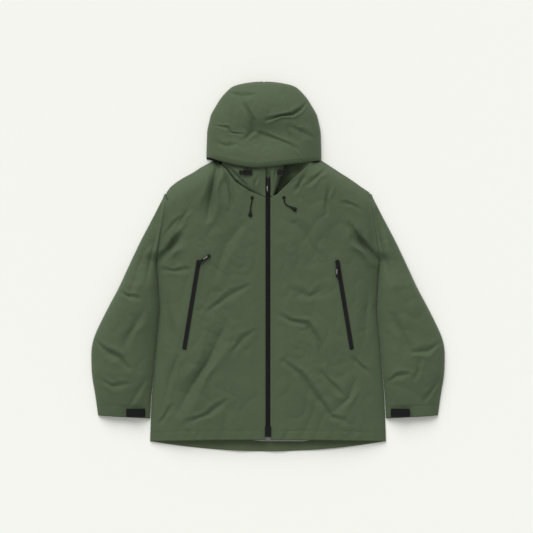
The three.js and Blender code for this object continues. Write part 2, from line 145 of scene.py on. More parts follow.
def woven(name, face, shade, roughness, thread=THREAD, depth=0.12, sheen=0.12, gloss=0.3):
    material, tree = new_material(name)
    place = add_node(tree, "TexCoord").outputs["Object"]
    waves = {"Scale": wave_scale(thread), "Distortion": 0.6, "Detail": 1.0}
    warp, weft = [add_node(tree, "TexWave", waves, {"Vector": place}, bands_direction=way)
                  for way in "XY"]
    weave = add_node(tree, "Math", links={0: warp.outputs["Fac"], 1: weft.outputs["Fac"]},
                     operation="MULTIPLY")
    dye = add_node(tree, "TexNoise", {"Scale": DYE_SCALE, "Detail": 5.0, "Roughness": 0.6},
                   {"Vector": place})
    grain = add_node(tree, "TexNoise", {"Scale": GRAIN_SCALE, "Detail": 2.0}, {"Vector": place})
    both = add_node(tree, "Mix", {"Factor": 0.35}, {"A": dye.outputs["Fac"], "B": grain.outputs["Fac"]})
    dyed = two_colours(tree, both.outputs[0], shade, face, (0.3, 0.7))
    rough = add_node(tree, "MapRange", {"To Min": roughness - 0.06, "To Max": roughness + 0.06},
                     {"Value": dye.outputs["Fac"]})
    bump = add_node(tree, "Bump", {"Strength": depth, "Distance": 0.0004},
                    {"Height": weave.outputs["Value"]})
    crumple = add_node(tree, "TexNoise", {"Scale": CRUMPLE_SCALE, "Detail": 4.0, "Roughness": 0.55},
                       {"Vector": place})
    soft = add_node(tree, "Bump", {"Strength": 0.12, "Distance": 0.002},
                    {"Height": crumple.outputs["Fac"], "Normal": bump.outputs["Normal"]})
    surface = add_node(tree, "BsdfPrincipled", {"Sheen Weight": sheen, "Sheen Roughness": 0.5,
                       "Specular IOR Level": gloss},
                       {"Base Color": dyed, "Roughness": rough.outputs[0],
                        "Normal": soft.outputs["Normal"]})
    finish_material(tree, surface)
    return material


shell_cloth = woven("woven_nylon_shell", "#49573E", "#435138", 0.72)
hem_cloth = woven("woven_nylon_turned_hem", "#525F44", "#4B583E", 0.75)
backer = woven("knitted_grey_backer", "#B9BAB4", "#A8A9A3", 0.85, thread=1.6, depth=0.3)
pocket_mesh = woven("knitted_pocket_mesh", "#6B7068", "#555A53", 0.85, thread=2.2, depth=0.6)
print("cloths ready")

# %% [markdown]
# ## Zips, cords and moulded parts
# Zip tape is black woven polyester under a thin rubbery film. Teeth and sliders are nylon and
# lacquered zinc, tabs are soft moulded rubber, and cords are braided polyester. All are black, so it
# is their gloss and grain that tells them apart.

# %% Black finishes
def moulded(name, base, light, roughness, grain_mm, bump_strength):
    material, tree = new_material(name)
    place = add_node(tree, "TexCoord").outputs["Object"]
    grain = add_node(tree, "TexNoise", {"Scale": 1 / (grain_mm * MM), "Detail": 3.0},
                     {"Vector": place})
    tone = two_colours(tree, grain.outputs["Fac"], base, light)
    rough = add_node(tree, "MapRange", {"To Min": roughness - 0.08, "To Max": roughness + 0.08},
                     {"Value": grain.outputs["Fac"]})
    bump = add_node(tree, "Bump", {"Strength": bump_strength, "Distance": 0.0003},
                    {"Height": grain.outputs["Fac"]})
    surface = add_node(tree, "BsdfPrincipled", {"Specular IOR Level": 0.22},
                       {"Base Color": tone, "Roughness": rough.outputs[0],
                        "Normal": bump.outputs["Normal"]})
    finish_material(tree, surface)
    return material


zip_tape_film = woven("film_coated_zip_tape", "#161617", "#101011", 0.6, thread=0.9, sheen=0.0,
                      gloss=0.2)
loop_pile = woven("woven_loop_pile", "#131314", "#0B0B0C", 0.95, thread=0.8, depth=1.0, sheen=0.0,
                  gloss=0.1)
webbing = woven("braided_polyester", "#151516", "#0D0D0E", 0.8, thread=0.7, depth=0.8,
                sheen=0.0, gloss=0.15)
nylon_teeth = moulded("moulded_nylon_teeth", "#111112", "#18181A", 0.45, 0.6, 0.1)
lacquer = moulded("lacquered_zinc_slider", "#0C0C0D", "#121213", 0.36, 2.0, 0.05)
rubber = moulded("moulded_soft_rubber", "#090909", "#0F0F10", 0.65, 0.5, 0.2)
acetal = moulded("moulded_black_acetal", "#090909", "#0F0F0F", 0.42, 0.8, 0.08)
thread_finish = moulded("polyester_sewing_thread", "#46533E", "#5A684E", 0.7, 0.3, 0.2)
print("black finishes ready")

# %% [markdown]
# ## The outlines
# The cloth pieces follow the CAD's panels, with the curves drawn more finely. The driving sizes are
# read from the frame's boxes. The values between them are this jacket's own and don't follow along.

# %% Outlines of body, sleeve and hood
front_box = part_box("front_panel_left")
sleeve_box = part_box("sleeve_upper_left")
hood_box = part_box("hood_back")
zip_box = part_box("zip_coil")
back_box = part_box("back_panel")

HEM_X = front_box[1][0] / MM
HEM_Y = front_box[0][1] / MM
NECK_Y = front_box[1][1] / MM
TAIL = HEM_Y - back_box[0][1] / MM
CUFF_Y = sleeve_box[0][1] / MM
SLEEVE_X = sleeve_box[1][0] / MM
ZIP_TOP = zip_box[1][1] / MM
ZIP_BOTTOM = zip_box[0][1] / MM
HOOD_TOP = hood_box[1][1] / MM
HOOD_SHIFT = -2
HOOD_FULLNESS = 3
HOOD_X = (hood_box[0][0] + hood_box[1][0]) / 2 / MM + HOOD_SHIFT
HOOD_HALF = (hood_box[1][0] - hood_box[0][0]) / 2 / MM + HOOD_FULLNESS
COLLAR_HEIGHT = 46.0
HEM_HEIGHT = 24.0
SEAM_HEIGHT = 2.6
ARMPIT = (297.0, 12.0)
SHOULDER = (270.0, 197.0)
NECK_SIDE = 120.0
NECK_FRONT = 180.0
PLACKET = 6.4


def ramp(points, t):
    """Straight-line interpolation through (t, value) points."""
    return np.interp(t, [p[0] for p in points], [p[1] for p in points])


def smooth_ramp(points, t):
    """The same, rounded off at the points by averaging over a short window."""
    reach = (points[-1][0] - points[0][0]) * 0.03
    return sum(ramp(points, t + reach * k) for k in (-1, -0.5, 0, 0.5, 1)) / 5


def ease(low, high, t):
    """0 below low, 1 above high, and a smooth step between them."""
    s = np.clip((t - low) / (high - low), 0, 1)
    return s * s * (3 - 2 * s)


def body_side(y):
    return ramp([(HEM_Y, HEM_X), (-354, 310), (-115, 289), ARMPIT[::-1], SHOULDER[::-1]], y)


def body_top(x, side):
    if side > 0:
        neck = [(0, NECK_FRONT), (24, 191), (62, 228), (100, 262), (112, 274), (142, 282)]
        slope = [(170, 264), (191, 250), (212, 237), (231, 224), (249, 211)]
    else:
        neck = [(0, NECK_FRONT), (50, 200), (86, 224), (112, 258), (122, 271), (146, 281)]
        slope = [(178, 264), (199, 250), (223, 237), (244, 224), (260, 211)]
    return ramp(neck + slope + [SHOULDER], np.abs(x))


def sleeve_inner(y):
    gap = ramp([(CUFF_Y, 2.0), (-300, 0.8), (-200, 0.3), (SHOULDER[1], 0.3)], y)
    return body_side(y) + gap


def sleeve_outer(y):
    return smooth_ramp([(CUFF_Y, 451), (-375, 455), (-333, 461), (-290, 469), (-227, SLEEVE_X),
                        (-205, 468), (-184, 462), (-142, 442), (-99, 420), (-57, 397), (-15, 378),
                        (28, 358), (70, 338), (113, 315), (155, 293), (176, 283), (197, 271)], y)


def hood_half(y):
    t = (y - NECK_Y) / (HOOD_TOP - NECK_Y)
    round_top = np.sqrt(1 - np.clip((t - 0.93) / 0.07, 0, 0.999) ** 3)
    return HOOD_HALF * smooth_ramp([(0, 0.98), (0.12, 1), (0.43, 0.985), (0.62, 0.92), (0.71, 0.84),
                                    (0.81, 0.75), (0.9, 0.63), (0.96, 0.52), (0.99, 0.4),
                                    (1, 0.3)], t) * round_top


print("hem", HEM_Y, "sleeve reach", round(SLEEVE_X), "hood centre", round(HOOD_X))

# %% [markdown]
# ## How stiff cloth folds
# A fold in laminate is a narrow valley with a rounder ridge beside it, deepest at its middle and
# fading at its ends. Each is laid along a short line, as a person would sculpt it with a
# crease brush. Under the big folds there is a net of small sharp wrinkles, which is what the absolute
# value of a smooth noise looks like.

# %% Creases and wrinkles
def polyline_distance(x, y, points):
    """Signed distance to a line through points, and how far along it the nearest point is."""
    best = np.full(x.shape, 1e9)
    signed = np.zeros(x.shape)
    along = np.zeros(x.shape)
    lengths = [math.dist(a, b) for a, b in zip(points, points[1:])]
    done = 0.0
    for (ax, ay), (bx, by), length in zip(points, points[1:], lengths):
        dx, dy = (bx - ax) / length, (by - ay) / length
        run = np.clip((x - ax) * dx + (y - ay) * dy, 0, length)
        off_x, off_y = x - ax - run * dx, y - ay - run * dy
        distance = np.hypot(off_x, off_y)
        nearer = distance < best
        side = np.sign(dx * off_y - dy * off_x)
        best = np.where(nearer, distance, best)
        signed = np.where(nearer, distance * side, signed)
        along = np.where(nearer, (done + run) / sum(lengths), along)
        done += length
    return best, signed, along


def crease(x, y, fold):
    points, width, depth = fold
    distance, signed, along = polyline_distance(x, y, points)
    fade = np.sin(math.pi * (0.06 + 0.88 * along)) ** 0.7
    width = 0.72 * width * (1 + 0.25 * np.sin(9 * along + width))
    valley = -np.exp(-(np.abs(signed) / width) ** 1.1)
    ridge = 0.5 * np.exp(-(np.abs(signed - 1.7 * width) / width) ** 1.6)
    far_ridge = 0.25 * np.exp(-(np.abs(signed + 2.2 * width) / (1.3 * width)) ** 1.6)
    reach = np.exp(-(distance / (6 * width)) ** 4)
    return 1.15 * depth * fade * (valley + ridge + far_ridge) * reach


def noise_field(x, y, size_x, size_y, seed):
    return np.array([noise.noise(Vector((a / size_x, b / size_y, seed))) for a, b in zip(x, y)])


def wrinkles(x, y, seed, amount):
    broad = noise_field(x, y, 110, 160, seed)
    bend = noise_field(x, y, 60, 60, seed + 5) * 20
    sharp = np.abs(noise_field(x + bend, y - bend, 46, 60, seed + 9))
    fine = np.abs(noise_field(x + y / 3 - bend, y + bend, 15, 22, seed + 13))
    patchy = ease(-0.25, 0.35, noise_field(x, y, 80, 80, seed + 21))
    return amount * (4.5 * broad + 3.6 * np.sqrt(sharp + 0.002) - 1.8
                     + 1.9 * patchy * (np.sqrt(fine + 0.002) - 0.3))


print("fold tools ready")

# %% [markdown]
# ## One maker for every cloth piece
# Each piece starts as a flat grid, the way cloth starts on a cutting table, and its points are then
# moved to where the cloth lies. A Solidify modifier gives it its thickness, with the knitted backer
# on the inner side and the woven face on the outer side.

# %% Cloth maker
def keep(mesh, name, body, materials, replaced=()):
    """Turns a bmesh into a smooth-shaded piece that rides on a CAD body."""
    data = bpy.data.meshes.new(name)
    mesh.to_mesh(data)
    mesh.free()
    data.polygons.foreach_set("use_smooth", [True] * len(data.polygons))
    piece = bpy.data.objects.new(name, data)
    bpy.context.collection.objects.link(piece)
    for material in materials:
        data.materials.append(material)
    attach(piece, body)
    if replaced:
        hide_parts(*replaced)
    return piece


def grid(columns, rows, place):
    """A bmesh grid whose (u, v) points, 0 to 1, are moved to place(u, v) in millimetres."""
    mesh = bmesh.new()
    bmesh.ops.create_grid(mesh, x_segments=columns, y_segments=rows, size=0.5)
    flat = np.array([vert.co[:2] for vert in mesh.verts]) + 0.5
    points = np.column_stack(place(flat[:, 0], flat[:, 1])) * MM
    for vert, point in zip(mesh.verts, points):
        vert.co = point
    return mesh


def add_wall(piece, name, thickness, offset=-1):
    """Gives a sheet its thickness, with the last material on its inner side."""
    wall = piece.modifiers.new(name, "SOLIDIFY")
    wall.thickness = thickness * MM
    wall.offset = offset
    wall.material_offset = len(piece.data.materials) - 1
    print(piece.name, len(piece.data.polygons), "faces")


def cloth(name, body, columns, rows, place, materials, replaced=(), thickness=1.2):
    mesh = grid(columns, rows, place)
    mesh.normal_update()
    if sum(face.normal.z for face in mesh.faces) < 0:
        bmesh.ops.reverse_faces(mesh, faces=mesh.faces)
    piece = keep(mesh, name, body, materials, replaced)
    add_wall(piece, "laminate", thickness)
    return piece


print("cloth maker ready")

# %% [markdown]
# ## The hood drawcords
# A thin braided cord leaves an eyelet on each side of the neck and lies on the chest, ending in a
# flat moulded teardrop. A curve with a round bevel is the natural way to make a cord, because its
# length stays the length of its line. Its points are the CAD's route in metres, 2.4 mm apart, and
# three of the thirty lie 0.1 mm off it.

# %% Drawcords, their ends and eyelets
CORD_WIDTH = 0.0028
CORD_ROUTES = {
    "left": [(0.0420, 0.1820, 0.0482), (0.0422, 0.1796, 0.0481), (0.0424, 0.1772, 0.0477),
             (0.0427, 0.1748, 0.0471), (0.0431, 0.1725, 0.0465), (0.0437, 0.1701, 0.0461),
             (0.0446, 0.1679, 0.0459), (0.0459, 0.1659, 0.0458), (0.0475, 0.1641, 0.0457),
             (0.0493, 0.1625, 0.0457), (0.0513, 0.1611, 0.0456), (0.0534, 0.1599, 0.0456),
             (0.0556, 0.1588, 0.0455), (0.0578, 0.1579, 0.0455), (0.0600, 0.1569, 0.0454)],
    "right": [(-0.0420, 0.1820, 0.0482), (-0.0421, 0.1796, 0.0481), (-0.0422, 0.1772, 0.0477),
              (-0.0424, 0.1748, 0.0471), (-0.0428, 0.1725, 0.0465), (-0.0433, 0.1700, 0.0461),
              (-0.0439, 0.1676, 0.0459), (-0.0445, 0.1652, 0.0458), (-0.0450, 0.1628, 0.0457),
              (-0.0454, 0.1604, 0.0456), (-0.0457, 0.1580, 0.0455), (-0.0459, 0.1556, 0.0454),
              (-0.0460, 0.1532, 0.0454), (-0.0461, 0.1508, 0.0453), (-0.0462, 0.1484, 0.0452)],
}
CORD_END_TURN = {"left": 60.0, "right": -4.0}


def turned(profile, steps, around):
    """A closed shape of revolution: a line of points spun a full turn round an axis."""
    mesh = bmesh.new()
    line = [mesh.verts.new(Vector(point) * MM) for point in profile]
    edges = [mesh.edges.new(pair) for pair in zip(line, line[1:])]
    bmesh.ops.spin(mesh, geom=line + edges, cent=(0, 0, 0), axis=around, angle=math.tau,
                   steps=steps, use_merge=True)
    bmesh.ops.remove_doubles(mesh, verts=mesh.verts, dist=0.01 * MM)
    bmesh.ops.recalc_face_normals(mesh, faces=mesh.faces)
    return mesh


def shift(mesh, matrix):
    bmesh.ops.transform(mesh, matrix=matrix, verts=mesh.verts)
    return mesh


# radius, and distance along from where the cord runs in
TEARDROP = [(0, 2), (1.7, 1.8), (2.3, 0.6), (2.5, -2), (3.4, -6), (4.7, -9.6), (5.5, -12.4),
            (5.1, -15), (3.4, -16.6), (0, -17)]
TEARDROP_FLATNESS = 0.46
RING_RADIUS = 3.3
RING_WIDTH = 1.2
RING_HEIGHT = 0.9

for word, route in CORD_ROUTES.items():
    line = bpy.data.curves.new(f"drawcord_{word}", "CURVE")
    line.dimensions = "3D"
    line.bevel_depth = CORD_WIDTH / 2
    line.bevel_resolution = 4
    line.use_fill_caps = True
    spline = line.splines.new("POLY")
    spline.points.add(len(route) - 1)
    for point, place in zip(spline.points, route):
        point.co = (*place, 1)
    line.materials.append(webbing)
    drawcord = bpy.data.objects.new(f"drawcord_{word}", line)
    bpy.context.collection.objects.link(drawcord)
    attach(drawcord, "jacket")
    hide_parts(f"hood_cord_{word}")

    drop = turned([(radius, along, 0) for radius, along in TEARDROP], 24, (0, 1, 0))
    shift(drop, Matrix.Diagonal((1, 1, TEARDROP_FLATNESS, 1)))
    turn = Matrix.Rotation(math.radians(CORD_END_TURN[word]), 4, "Z")
    shift(drop, Matrix.Translation(Vector(route[-1])) @ turn)
    end = keep(drop, f"cord_drop_{word}", "jacket", [rubber], [f"cord_end_{word}"])

    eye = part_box(f"cord_eyelet_{word}")
    middle = (Vector(eye[0]) + Vector(eye[1])) / 2
    loop = [(RING_RADIUS + RING_WIDTH * math.cos(a), 0, RING_HEIGHT * math.sin(a))
            for a in np.linspace(0, math.tau, 13)]
    lip = shift(turned(loop, 28, (0, 0, 1)), Matrix.Translation(middle))
    keep(lip, f"eyelet_ring_{word}", "jacket", [acetal], [f"cord_eyelet_{word}"])

    length = sum(math.dist(a, b) for a, b in zip(route, route[1:]))
    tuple(route[0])
    print(drawcord.name, round(length * 1000, 1), "mm")

# %% [markdown]
# ## The fronts
# The fronts swell like a pillow between the zip and the side seam, and sink into a sharp valley
# where the sleeves are set in. Beside the zips the cloth is glued to a stiff film, so it keeps its
# height there and the wrinkles only start a little way off.

# %% Heights of the fronts
POCKET_TOP = (183.0, 17.0)
POCKET_BOTTOM = (222.5, -220.0)

FRONT_FOLDS = {
    -1: [
        ([(-127, 280), (-138, 250), (-148, 203), (-159, 130)], 13, 15),
        ([(-117, 263), (-103, 213), (-95, 163)], 5, 7),
        ([(-212, 150), (-230, 122), (-244, 97)], 8, 5),
        ([(-290, -6), (-250, -12), (-206, -6)], 7, 5),
        ([(-118, -165), (-159, -253), (-201, -317), (-236, -382)], 19, 10),
        ([(-158, -118), (-106, -78), (-52, -50)], 9, 4.5),
        ([(-96, -228), (-66, -190), (-38, -170)], 9, 4),
        ([(-216, -414), (-159, -391), (-112, -355)], 8, 5),
        ([(-290, -420), (-274, -398), (-256, -370)], 7, 5),
        ([(-273, -80), (-262, -150), (-254, -215)], 14, 6),
        ([(-298, 12), (-268, 34), (-236, 74)], 12, 20),
        ([(-284, 70), (-262, 100), (-236, 128)], 7, 6),
        ([(-60, 120), (-110, 60), (-140, -30)], 16, 4),
        ([(-240, -240), (-262, -300), (-270, -350)], 10, 5),
    ],
    1: [
        ([(26, -125), (61, -144), (103, -152), (135, -200), (148, -256)], 9, 6),
        ([(40, -250), (87, -285), (119, -333), (151, -372), (167, -398), (203, -409)], 10, 6.5),
        ([(140, -280), (170, -312), (203, -346)], 8, 5),
        ([(226, -244), (250, -266), (270, -284)], 7, 5),
        ([(164, 212), (156, 180), (154, 140)], 7, 5),
        ([(194, 170), (225, 164), (246, 150)], 6, 4),
        ([(96, 238), (84, 220), (74, 200)], 6, 6),
        ([(154, 258), (130, 238), (106, 216)], 7, 6),
        ([(298, 8), (266, 36), (232, 76)], 12, 20),
        ([(216, 112), (240, 80), (262, 44)], 7, 6),
        ([(270, -60), (262, -120), (258, -190)], 14, 5),
        ([(50, 130), (96, 90), (130, 20)], 17, 4),
        ([(232, -300), (214, -350), (180, -380)], 12, 5),
        ([(60, -60), (110, -80), (150, -60)], 12, 3.5),
    ],
}


# how far above the cut edge the hem's and the cuff's stitches run
HEM_SEAM = 24
CUFF_SEAM = 34


def centre_height(y):
    """Height of the main zip, which climbs from the hem to the collar."""
    slope = (COLLAR_HEIGHT - HEM_HEIGHT) / (ZIP_TOP - ZIP_BOTTOM)
    return HEM_HEIGHT + (y - ZIP_BOTTOM) * slope


def pocket_distance(x, y):
    return polyline_distance(np.abs(x), y, [POCKET_TOP, POCKET_BOTTOM])[0]


def front_smooth(x, y, side):
    """The swell of a front, before it has any folds."""
    out = np.abs(x)
    s = np.clip(out / body_side(y), 0, 1)
    closed = (1 - s ** 3.5) ** 0.6
    opened = np.maximum(closed, 1 - 0.55 * s ** 3)
    into_arm = ease(ARMPIT[1] + 2, ARMPIT[1] + 30, y)
    across = closed + (opened - closed) * into_arm
    below = np.clip((body_top(x, side) - y) / 60, 0, 1)
    shoulder = 1 - (1 - below) ** 2.5
    along = 1 + (shoulder - 1) * ease(90, 150, out)
    return SEAM_HEIGHT + (centre_height(y) - SEAM_HEIGHT) * across * along


def front_height(x, y, side):
    out = np.abs(x)
    s = np.clip(out / body_side(y), 0, 1)
    folds = sum(crease(x, y, fold) for fold in FRONT_FOLDS[side])
    folds = folds + wrinkles(x, y, 3.1 if side > 0 else 8.7, 0.8)
    armhole = np.exp(-((body_side(y) - out) / 12) ** 2)
    folds = folds - 19 * armhole * ease(ARMPIT[1] - 30, 60, y) * (1 - ease(120, 190, y))
    hem_line = np.exp(-((y - hem_y(x) - HEM_SEAM) / 1.6) ** 2)
    pucker = np.exp(-((y - hem_y(x) - 14) / 14) ** 2)
    folds = folds - 1.0 * hem_line + 0.8 * pucker * np.sin(x / 5.5 + 2 * np.sin(x / 31))
    welt = pocket_distance(x, y)
    cord_line = [(side * 42, 184), (side * 44, 168), (side * (58 if side > 0 else 46), 140)]
    from_cord = polyline_distance(x, y, cord_line)[0]
    hold = ease(9, 46, out) * ease(7, 26, welt) * ease(9, 30, from_cord) * (1 - s ** 8)
    above_pit = (out + y - sum(ARMPIT)) / math.sqrt(2)
    near_pit = np.exp(-((out - 266) / 32) ** 2)
    pit_ridge = 5 * np.exp(-((above_pit + 13) / 9) ** 2)
    pit_valley = 13 * np.exp(-((above_pit - 4) / 8) ** 2)
    pit = near_pit * (pit_ridge - pit_valley) * (1 - s ** 20)
    return np.maximum(front_smooth(x, y, side) + folds * hold + pit, SEAM_HEIGHT + 0.2)


def hem_y(x):
    return HEM_Y + 5 * (1 - (x / HEM_X) ** 2)


def front_place(side):
    def place(u, v):
        t = 1 - (1 - u) ** 1.35
        low = hem_y(PLACKET + (HEM_X - PLACKET) * t)
        top = body_top(PLACKET + (SHOULDER[0] - PLACKET) * t, side)
        y = low + (top - low) * v
        reach = np.where(y > NECK_FRONT, SHOULDER[0], body_side(y))
        x = side * (PLACKET + (reach - PLACKET) * t)
        return x, y, front_height(x, y, side)
    return place


print("front folds", {side: len(folds) for side, folds in FRONT_FOLDS.items()})

# %% [markdown]
# ## Laying the fronts
# Each front is one cut panel, sewn to the zip tape on one side and to the back on the other, with the
# face cloth outwards. The two are laid by one loop, mirrored, with their own folds.

# %% Left and right front
SIDES = {"left": 1, "right": -1}
for word, side in SIDES.items():
    cloth(f"front_cloth_{word}", "jacket", 120, 230, front_place(side), [shell_cloth, backer],
          [f"front_panel_{word}"])

# %% [markdown]
# ## The back
# The back lies under everything, nearly flat, and its tail drops below the front hem. From above one
# sees the inside of the tail: the turned hem in the face cloth, and a thin line of grey backer above.

# %% Back, tail hem and the neck lining, whose dark colour is painted shade
# A lining cloth whose dark colour is painted shade: it darkens the inside of the hood and the neck,
# where shade falls.
lining_painted_shade = woven("lining_with_painted_shade", "#2E3528", "#262C21", 0.9, thread=1.4, depth=0.3)


def tail_y(x):
    return HEM_Y - TAIL * (1 - np.clip(np.abs(x) / HEM_X, 0, 1) ** 2)


def back_place(u, v):
    t = 2 * u - 1
    low = tail_y(HEM_X * t)
    shoulder_x = SHOULDER[0] * np.abs(t)
    slope = np.where(t > 0, body_top(shoulder_x, 1), body_top(shoulder_x, -1))
    top = np.where(shoulder_x < NECK_SIDE, NECK_Y, slope) - 1.5
    y = low + (top - low) * v
    x = t * body_side(y)
    ripple = 1.4 * ease(HEM_Y + 40, HEM_Y, y) * (1 + np.sin(x / 23 + 1.5 * np.sin(x / 57)))
    return x, y, 1.5 + 0.9 * np.abs(t) ** 20 + ripple * (1 - t ** 6)


back = cloth("back_cloth", "jacket", 110, 130, back_place, [backer, shell_cloth], ["back_panel"])
back.data.materials.append(lining_painted_shade)
# Above this height the back's inside, seen down the neck, gets the dark lining as painted shade.
PAINTED_SHADE_FROM_Y = 90
PAINTED_SHADE_SLOT = len(back.data.materials) - 1
for face in back.data.polygons:
    if face.center.y > PAINTED_SHADE_FROM_Y * MM:
        face.material_index = PAINTED_SHADE_SLOT


def tail_hem_place(u, v):
    x = (2 * u - 1) * (HEM_X - 5)
    low = tail_y(x) + 0.8
    high = hem_y(x) - 5.5 + 11 * ease(50, 120, np.abs(x - 36))
    y = low + (high - low) * v
    line = np.exp(-((v - 0.88) / 0.03) ** 2)
    up_back = np.clip((y - tail_y(x)) / (NECK_Y - tail_y(x)), 0, 1)
    base = back_place((x / body_side(y) + 1) / 2, up_back)[2]
    wave = 0.5 * np.sin(x / 6.2 + np.sin(x / 40))
    return x, y, base + 1.2 + wave * np.sin(math.pi * v) - 0.7 * line


cloth("tail_hem", "jacket", 220, 14, tail_hem_place, [hem_cloth], ["back_hem_facing"], 0.9)

# %% [markdown]
# ## The sleeves
# A sleeve is a tube that lies flattened: its upper half arches over, its under half rests on the
# floor. The two halves share their edges, which are merged so that the tube is closed along its
# length, open at the cuff, and open inside the armhole.

# %% Sleeve heights
SLEEVE_FOLDS = {
    -1: [
        ([(-468, -188), (-424, -227), (-392, -242), (-370, -270)], 9, 8),
        ([(-400, -62), (-372, -78), (-340, -84)], 7, 5),
        ([(-282, 150), (-296, 90), (-312, 20), (-322, -40)], 12, 7),
        ([(-320, 60), (-350, -20), (-372, -90)], 16, 4),
        ([(-446, -300), (-410, -318), (-370, -310)], 8, 4),
        ([(-330, -120), (-360, -170), (-380, -210)], 12, 5),
        ([(-322, -300), (-350, -340), (-366, -372)], 9, 4),
    ],
    1: [
        ([(312, -312), (340, -290), (372, -284)], 8, 6),
        ([(456, -298), (436, -328), (414, -358)], 7, 5),
        ([(284, 146), (298, 90), (312, 20), (322, -40)], 12, 7),
        ([(330, 50), (356, -20), (380, -90)], 16, 4),
        ([(462, -200), (424, -224), (384, -228)], 9, 6),
        ([(330, -130), (356, -180), (372, -226)], 12, 5),
        ([(402, -250), (398, -280), (390, -300)], 7, 4),
    ],
}


SLEEVE_WALL = 0.9
CUFF_RISE = 8
TAB_SINK = 1.8


def sleeve_upper_height(x, y, side):
    out = np.abs(x)
    width = sleeve_outer(y) - sleeve_inner(y)
    s = np.clip((out - sleeve_inner(y)) / width, 0, 1)
    arch = (1 - np.abs(2 * s - 1) ** 3) ** 0.6
    full = 16 + 14 * np.clip((y - CUFF_Y) / 120, 0, 1)
    edge_x = side * body_side(y)
    join = np.where(y > ARMPIT[1], front_height(edge_x, y, side) - SEAM_HEIGHT, 0)
    folds = sum(crease(x, y, fold) for fold in SLEEVE_FOLDS[side])
    folds = folds + wrinkles(x, y, 21.3 if side > 0 else 33.9, 0.8)
    cuff_line = np.exp(-((y - CUFF_Y - CUFF_SEAM) / 1.5) ** 2)
    folds = folds - 0.9 * cuff_line
    tab_near = ease(44, 20, y - CUFF_Y) * (1 - ease(430, 445, out))
    hold = np.sin(math.pi * s) ** 0.5 * (1 - 0.85 * tab_near)
    under_tab = ease(-366, -378, y) * ease(316, 324, out) * (1 - ease(378, 396, out))
    smooth = SEAM_HEIGHT + np.minimum(full, width * 0.3) * arch + join * (1 - s) ** 2
    smooth = smooth - TAB_SINK * under_tab * arch
    return np.maximum(smooth + folds * hold * ease(196, 150, y), SEAM_HEIGHT)


def cuff_low(t):
    """The cuff's edge, which rises towards the outer side of the sleeve."""
    return CUFF_Y + CUFF_RISE * t


def sleeve_place(side, upper):
    def place(u, v):
        t = (1 - np.cos(math.pi * u)) / 2
        low = cuff_low(t)
        y = low + (SHOULDER[1] - 4 - low) * v
        out = sleeve_inner(y) + (sleeve_outer(y) - sleeve_inner(y)) * t
        x = side * out
        if upper:
            return x, y, sleeve_upper_height(x, y, side)
        round_edge = np.abs(2 * t - 1) ** 14
        return x, y, 0.4 + (SEAM_HEIGHT - 0.4) * round_edge
    return place


print("sleeve folds", {side: len(folds) for side, folds in SLEEVE_FOLDS.items()})

# %% [markdown]
# ## Joining the sleeve halves
# A real sleeve is one panel folded round and seamed along its length. Two grids with the same number
# of rows are easier to lay, and merging their shared edges gives the same closed tube.

# %% Sleeves
for word, side in SIDES.items():
    upper = grid(64, 200, sleeve_place(side, True))
    lower = grid(64, 200, sleeve_place(side, False))
    half = bpy.data.meshes.new("half")
    lower.to_mesh(half)
    lower.free()
    upper.from_mesh(half)
    bpy.data.meshes.remove(half)
    bmesh.ops.remove_doubles(upper, verts=upper.verts, dist=0.02 * MM)
    bmesh.ops.recalc_face_normals(upper, faces=upper.faces)
    sleeve = keep(upper, f"sleeve_cloth_{word}", "jacket", [shell_cloth, backer],
                  [f"sleeve_upper_{word}", f"sleeve_under_{word}"])
    add_wall(sleeve, "laminate", SLEEVE_WALL)

# %% [markdown]
# ## The hood
# Three panels make the hood: a crown strip and two sides. Its front layer stands up in a dome and
# ends in a stiffened brim, and its back layer lies on the floor. The panel seams are shallow valleys
# with a row of stitches beside them.

# %% Hood
HOOD_FOLDS = [
    ([(104, 436), (86, 415), (66, 402), (34, 398), (-4, 386)], 5, 9),
    ([(-70, 442), (-53, 412), (-40, 386), (-37, 362), (-58, 338)], 8, 6),
    ([(-142, 374), (-106, 367), (-99, 354), (-68, 350)], 4, 4),
    ([(-104, 462), (-70, 452), (-36, 455)], 9, 5),
    ([(-36, 356), (29, 335), (50, 325), (80, 309)], 6, 4),
    ([(60, 370), (96, 352), (124, 340)], 9, 4),
    ([(-140, 330), (-110, 318), (-84, 322)], 8, 3),
]
HOOD_SEAMS = [
    [(-78, 470), (-96, 420), (-103, 350), (-99, 327), (-115, 282)],
    [(44, 470), (56, 430), (57, 399), (53, 362), (63, 311), (86, 279)],
]


HOOD_HEIGHT = 58


def brim_y(x):
    """The brim's front edge, averaged over a short window to round it."""
    table = [(-161, 291), (-122, 277), (-77, 266), (-34, 260.5), (13, 264.5), (56, 270), (101, 275),
             (142, 282)]
    return sum(ramp(table, x + shift) for shift in (-12, -6, 0, 6, 12)) / 5


def hood_height(x, y):
    s = np.clip(np.abs(x - HOOD_X) / hood_half(y), 0, 1)
    t = np.clip((y - NECK_Y) / (HOOD_TOP - NECK_Y), 0, 1)
    dome = (1 - s ** 2.6) ** 0.6 * (1 - t ** 3.2) ** 0.55
    folds = sum(crease(x, y, fold) for fold in HOOD_FOLDS) + wrinkles(x, y, 51.7, 0.75)
    for seam in HOOD_SEAMS:
        folds = folds - 1.3 * np.exp(-(polyline_distance(x, y, seam)[0] / 1.8) ** 2)
    rise = y - brim_y(x)
    stiff = ease(0, 46, rise)
    stitch_line = -0.9 * np.exp(-((rise - 9) / 1.3) ** 2)
    roll = -5.0 * np.exp(-(rise / 5) ** 2)
    hollow = -17 * np.exp(-((y - 345) / 40) ** 2 - ((x + 12) / 84) ** 2)
    dips = stitch_line + hollow
    hold = (1 - s ** 8) * (1 - t ** 10)
    height = SEAM_HEIGHT + HOOD_HEIGHT * dome + (folds * (0.35 + 0.65 * stiff) + dips + roll) * hold
    return np.maximum(height, SEAM_HEIGHT)


